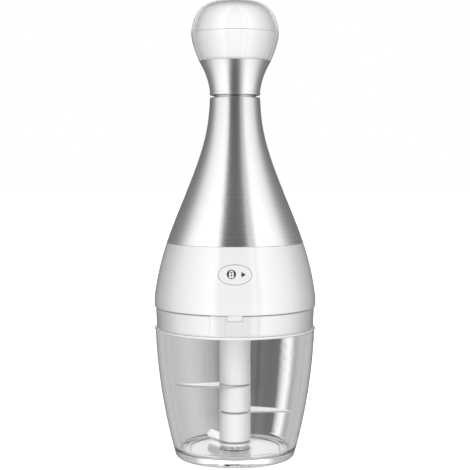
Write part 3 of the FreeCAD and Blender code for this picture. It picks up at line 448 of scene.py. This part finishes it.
def make_camera():
    data = bpy.data.cameras.new("camera")
    data.lens = CAMERA_LENS
    data.sensor_width = CAMERA_SENSOR
    camera = new_object("camera", data)
    camera.location = CAMERA_PLACE
    camera.rotation_mode = "QUATERNION"
    camera.rotation_quaternion = (CAMERA_AIM - CAMERA_PLACE).to_track_quat("-Z", "Y")
    bpy.context.scene.camera = camera


def make_disc(name, radius, height, glow, whiteness):
    """A stage disc that lights nothing: the world alone lights the object."""
    data = bpy.data.meshes.new(name)
    work = bmesh.new()
    bmesh.ops.create_circle(work, cap_ends=True, segments=96, radius=radius)
    bmesh.ops.translate(work, vec=(0.0, 0.0, height), verts=work.verts)
    work.to_mesh(data)
    work.free()
    disc = new_object(name, data)
    disc.visible_diffuse = False
    disc.visible_glossy = False
    material, tree, shader = new_material(name)
    set_inputs(shader, roughness=0.9, specular_ior_level=0.1)
    set_inputs(shader, emission_strength=glow, emission_color=(*neutral(1.0), 1.0))
    grain = stretched_noise(tree, scale=40.0)
    coloured(tree, shader, grain, dark=neutral(whiteness * 0.98), light=neutral(whiteness))
    dress(disc, material)
    return disc


def make_floor():
    """The floor as the eye sees it, and the small patch of it that shows through the clear bowl's foot, a
    glowing disc whose dim glow paints the shade under the bowl.
    """
    floor = make_disc("floor", FLOOR_RADIUS, 0.0, FLOOR_GLOW, FLOOR_WHITENESS)
    floor.visible_transmission = False
    patch_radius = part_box("bowl")[1][0] * PATCH_SHARE
    # Its dim glow is painted shade under the bowl.
    patch = make_disc("floor_shade_patch", patch_radius, PATCH_HEIGHT, PATCH_SHADE_GLOW, PATCH_WHITENESS)
    patch.visible_camera = False
    patch.visible_shadow = False


def ramp_over(tree, share, stops, low=-180.0, high=180.0):
    """A grey ramp through stops {place: brightness}; share goes from 0 to 1 as places go from low to high."""
    ramp = new_node(tree, "ShaderNodeValToRGB")
    elements = ramp.color_ramp.elements
    while len(elements) > 1:
        elements.remove(elements[-1])
    for number, (place, brightness) in enumerate(sorted(stops.items())):
        position = (place - low) / (high - low)
        element = elements.new(position) if number else elements[0]
        element.position = position
        element.color = (*neutral(brightness), 1.0)
    link(tree, share, ramp.inputs["Fac"])
    return ramp.outputs["Color"]


def direction_shares(tree):
    """A direction's azimuth (0.5 towards -Y, 0.75 towards +X, 0 and 1 behind) and height (0 down, 1 up)."""
    parts = split(tree, "Generated")
    ahead = maths(tree, "MULTIPLY", parts["Y"], -1.0)
    turn = maths(tree, "ARCTAN2", parts["X"], ahead)
    share = maths(tree, "MULTIPLY_ADD", turn, 0.5 / math.pi, 0.5)
    height = maths(tree, "MULTIPLY_ADD", parts["Z"], 0.5, 0.5)
    return share, height


def make_world():
    """A studio made of brightness by azimuth, with its own stops for each kind of ray."""
    world = bpy.data.worlds.new("studio")
    bpy.context.scene.world = world
    world.use_nodes = True
    tree = world.node_tree
    tree.nodes.clear()
    out = new_node(tree, "ShaderNodeOutputWorld")
    path = new_node(tree, "ShaderNodeLightPath")
    share, height = direction_shares(tree)
    current = None
    for name, (choice, strength, stops) in STUDIO.items():
        colour = ramp_over(tree, share, stops)
        if name == "through":
            for higher_stops, rising in HIGHER:
                higher = ramp_over(tree, share, higher_stops)
                colour = blended(tree, ramp_over(tree, height, rising, -1.0, 1.0), colour, higher)
        background = new_node(tree, "ShaderNodeBackground")
        set_inputs(background, strength=strength)
        link(tree, colour, background.inputs["Color"])
        if choice is None:
            current = background.outputs[0]
            continue
        mix = new_node(tree, "ShaderNodeMixShader")
        for target, source in enumerate((path.outputs[choice], current, background.outputs[0])):
            link(tree, source, mix.inputs[target])
        current = mix.outputs[0]
    link(tree, current, out.inputs["Surface"])


def set_look():
    view = bpy.context.scene.view_settings
    view.view_transform = "Standard"
    view.look = "None"
    view.exposure = 0.0
    view.gamma = 1.0


# ------------------------------------------------------------------ the button's print

def arc(x, z, across, up, turns):
    """Points of an ellipse at the given angles, in the button's own plane."""
    return [(x + across / 2 * math.cos(turn), z + up / 2 * math.sin(turn)) for turn in turns]


def ellipse(x, z, across, up, steps=40):
    return arc(x, z, across, up, [2 * math.pi * step / steps for step in range(steps)])


def rounded(corners, radius, steps=5):
    """A convex anticlockwise outline whose corners are arcs of one radius."""
    outline = []
    for number, corner in enumerate(corners):
        here = Vector(corner)
        before = (Vector(corners[number - 1]) - here).normalized()
        after = (Vector(corners[(number + 1) % len(corners)]) - here).normalized()
        half_angle = before.angle(after) / 2
        centre = here + (before + after).normalized() * radius / math.sin(half_angle)
        first = here + before * radius / math.tan(half_angle) - centre
        sweep = math.pi - 2 * half_angle
        for step in range(steps + 1):
            turn = sweep * step / steps
            outline.append((centre.x + first.x * math.cos(turn) - first.y * math.sin(turn),
                            centre.y + first.x * math.sin(turn) + first.y * math.cos(turn)))
    return outline


def shackle(x, z, outer, inner, leg, steps=16):
    """A padlock's shackle: a half ring of two diameters with straight legs down to z."""
    turns = [math.pi * step / steps for step in range(steps + 1)]
    over = [(x + outer / 2, z)] + arc(x, z + leg, outer, outer, turns) + [(x - outer / 2, z)]
    under = [(x - inner / 2, z)] + arc(x, z + leg, inner, inner, turns[::-1]) + [(x + inner / 2, z)]
    return over + under


def cut_in_cells(work, low, high):
    """Cuts a flat mesh along a grid, so that it can follow a curved face."""
    for axis in (0, 2):
        normal = Vector((axis == 0, 0.0, axis == 2))
        for number in range(1, int((high[axis] - low[axis]) / PRINT_GRID)):
            place = Vector(low) + normal * number * PRINT_GRID
            everything = work.verts[:] + work.edges[:] + work.faces[:]
            bmesh.ops.bisect_plane(work, geom=everything, plane_co=place, plane_no=normal)


def printed(name, outline, film, material, slot):
    """A film of ink on the button's curved face, from an outline seen from the front."""
    low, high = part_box("release_button")
    middle = (Vector(low) + Vector(high)) / 2
    work = bmesh.new()
    start = low[1] - PRINT_START
    work.faces.new([work.verts.new((middle.x + x * MM, start, middle.z + z * MM)) for x, z in outline])
    bmesh.ops.triangulate(work, faces=work.faces[:])
    cut_in_cells(work, low, high)
    button = NODES["release_button"].data
    places = [vertex.co.copy() for vertex in button.vertices]
    face = BVHTree.FromPolygons(places, [polygon.vertices[:] for polygon in button.polygons])
    for vert in work.verts:
        hit = face.ray_cast(vert.co, Vector((0.0, 1.0, 0.0)))[0]
        vert.co.y = hit.y - film
    thick = bmesh.ops.extrude_face_region(work, geom=work.faces[:])
    moved = [item for item in thick["geom"] if isinstance(item, bmesh.types.BMVert)]
    bmesh.ops.translate(work, vec=(0.0, film + PRINT_BITE, 0.0), verts=moved)
    bmesh.ops.recalc_face_normals(work, faces=work.faces[:])
    data = bpy.data.meshes.new(name)
    work.to_mesh(data)
    work.free()
    piece = new_object(name, data)
    dress(piece, material)
    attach(piece, "button")


def make_print(materials):
    """The lock sign and the turn arrow on the release button."""
    dark = (materials["print_ink"], "grey_plastic")
    white = (materials["white_gloss"], "white_gloss")
    x, z = LOCK_SIGN
    base = z - LOCK_DROP
    left, right, top = x - BODY_HALF_WIDTH, x + BODY_HALF_WIDTH, base + BODY_HEIGHT
    body = [(left, base), (right, base), (right, top), (left, top)]
    bow = shackle(x, base + SHACKLE_HEIGHT, **SHACKLE_SIZES)
    keyhole = ellipse(x, base + KEYHOLE_HEIGHT, **KEYHOLE_SIZES, steps=20)
    arrow = [(ARROW_TAIL, ARROW_HEIGHT + ARROW_HALF_WIDTH), (ARROW_TAIL, ARROW_HEIGHT - ARROW_HALF_WIDTH),
             (ARROW_TIP, ARROW_HEIGHT)]
    printed("lock_disc", ellipse(x, z, LOCK_DISC, LOCK_DISC), DARK_FILM, *dark)
    printed("lock_body", rounded(body, BODY_CORNER), WHITE_FILM, *white)
    printed("lock_shackle", bow, WHITE_FILM, *white)
    printed("lock_keyhole", keyhole, KEYHOLE_FILM, *dark)
    printed("turn_arrow", rounded(arrow, ARROW_CORNER), DARK_FILM, *dark)


def main():
    set_look()
    make_camera()
    make_world()
    make_floor()
    materials = make_materials()
    dress_frame(materials)
    make_print(materials)


main()
